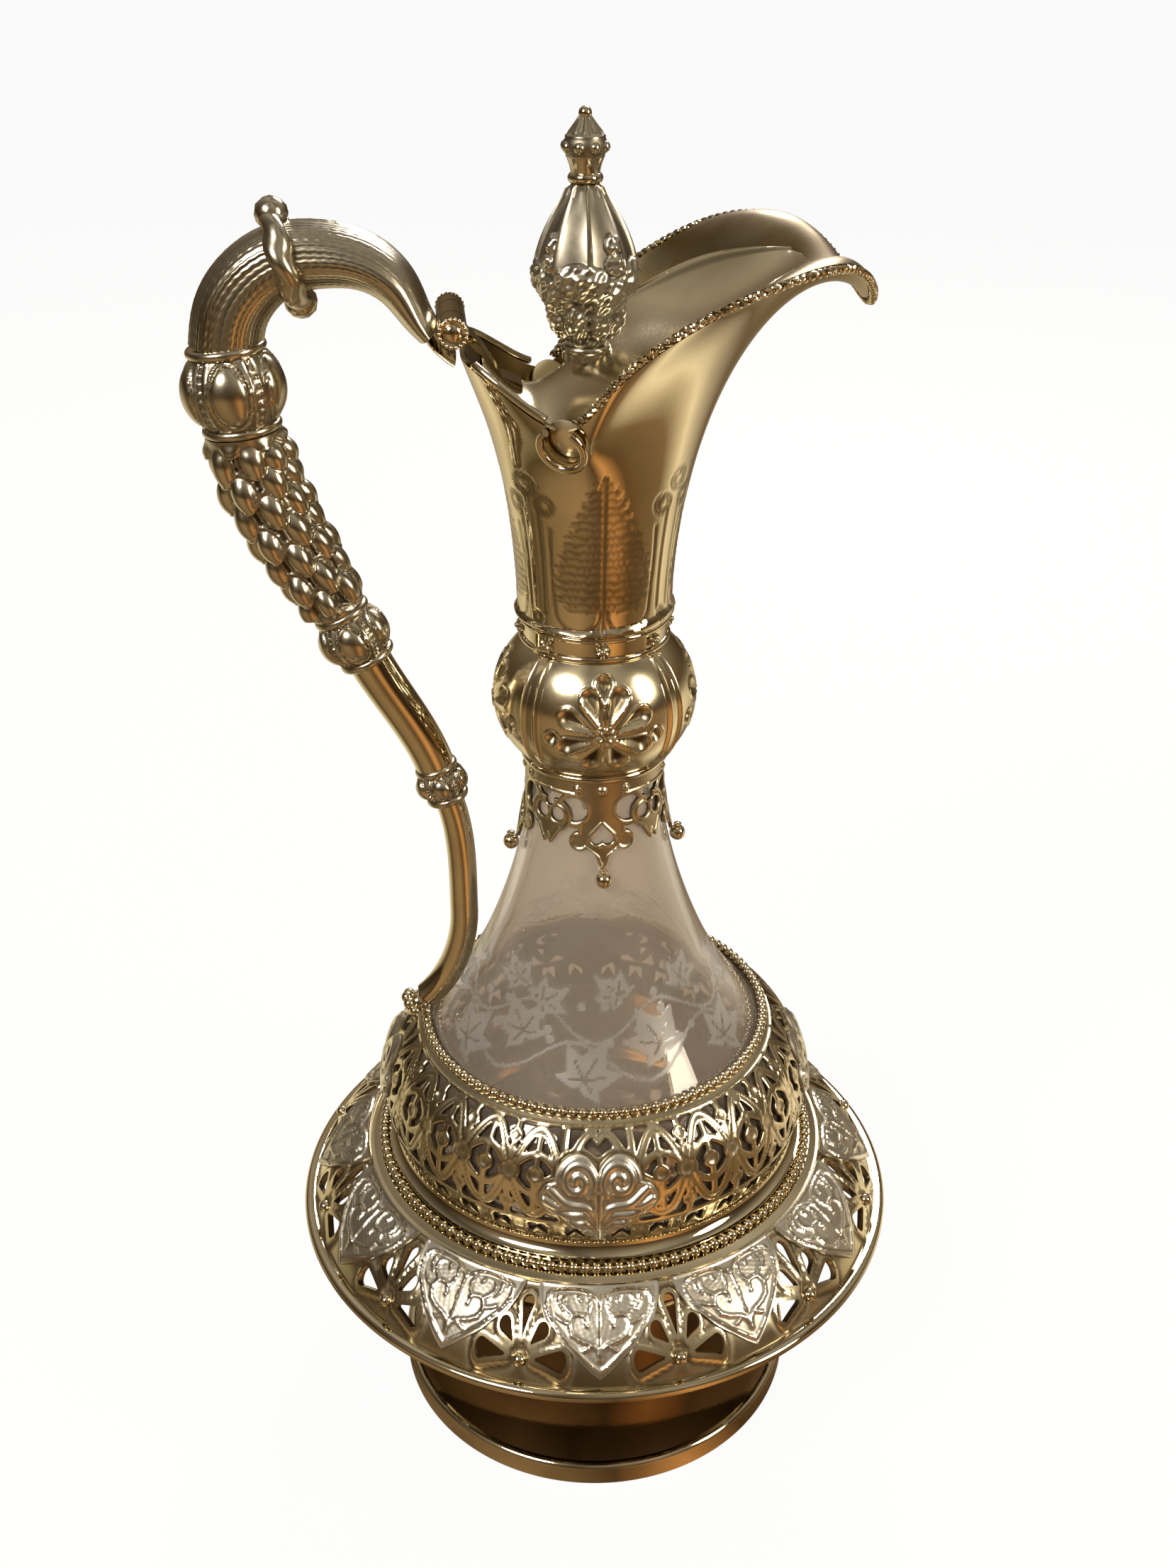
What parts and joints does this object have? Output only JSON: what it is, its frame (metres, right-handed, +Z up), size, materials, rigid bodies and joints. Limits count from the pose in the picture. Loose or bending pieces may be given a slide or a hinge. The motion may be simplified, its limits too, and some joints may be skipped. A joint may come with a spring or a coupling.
{
  "type": "claret jug",
  "caption": "Glass claret jug with pierced gilt dish and cage, metal neck with saddle mouth and spout, hinged lid with tall finial, and arched ball-and-horn handle",
  "frame": {"origin": "middle of the foot's rest face, on the table", "axes": "+Z up along the jug's axis, +X towards the spout, handle on the -X side, symmetric about the XZ plane"},
  "size_m": [0.1786, 0.1708, 0.36],
  "materials": {
    "gilt": "polished silver-gilt with darkened recesses",
    "silver": "chased silver with grey recesses",
    "pin_metal": "drawn metal",
    "smoky_glass": "clear smoky glass with frosted engraving",
    "cork": "matt cork"
  },
  "bodies": {
    "jug": {"foot_rim": "gilt", "foot": "gilt", "base_pan": "gilt", "glass_seat": "cork", "base_dish": "gilt", "dish_plaques": "silver", "dish_bosses": "silver", "lower_bead_wire": "gilt", "cage_band": "gilt", "cage_cartouches": "silver", "upper_bead_wire": "gilt", "glass_body": "smoky_glass", "neck_skirt": "gilt", "skirt_drops": "silver", "knop_ring": "gilt", "knop": "gilt", "knop_ribs": "gilt", "collar_band": "gilt", "collar_studs": "gilt", "neck_seal": "cork", "neck_mouth": "gilt", "keyhole_rings": "gilt", "rim_wires": "gilt", "spout_wire": "gilt", "hinge_bracket": "gilt", "hinge_pin": "pin_metal", "hinge_caps": "pin_metal", "handle_horn": "gilt", "handle_tie_ring": "gilt", "tie_ring_balls": "silver", "handle_upper_ball": "silver", "handle_grip": "silver", "handle_lower_ball": "silver", "handle_mid_tube": "gilt", "handle_small_ball": "silver", "handle_lower_tube": "gilt", "handle_terminal": "gilt"},
    "lid": {"lid": "gilt", "lid_lobes": "gilt", "lid_knuckle": "gilt", "finial_ring": "gilt", "finial_body": "silver", "finial_collar": "gilt", "finial_turban": "silver", "finial_tip": "silver", "finial_screw": "pin_metal", "finial_nut": "pin_metal"}
  },
  "joints": [
    {"name": "lid_hinge", "type": "hinge", "parent": "jug", "child": "lid", "pos_m": [-0.0322, 0, 0.3158], "axis": [0, -1, 0], "range_deg": [0, 75]}
  ]
}
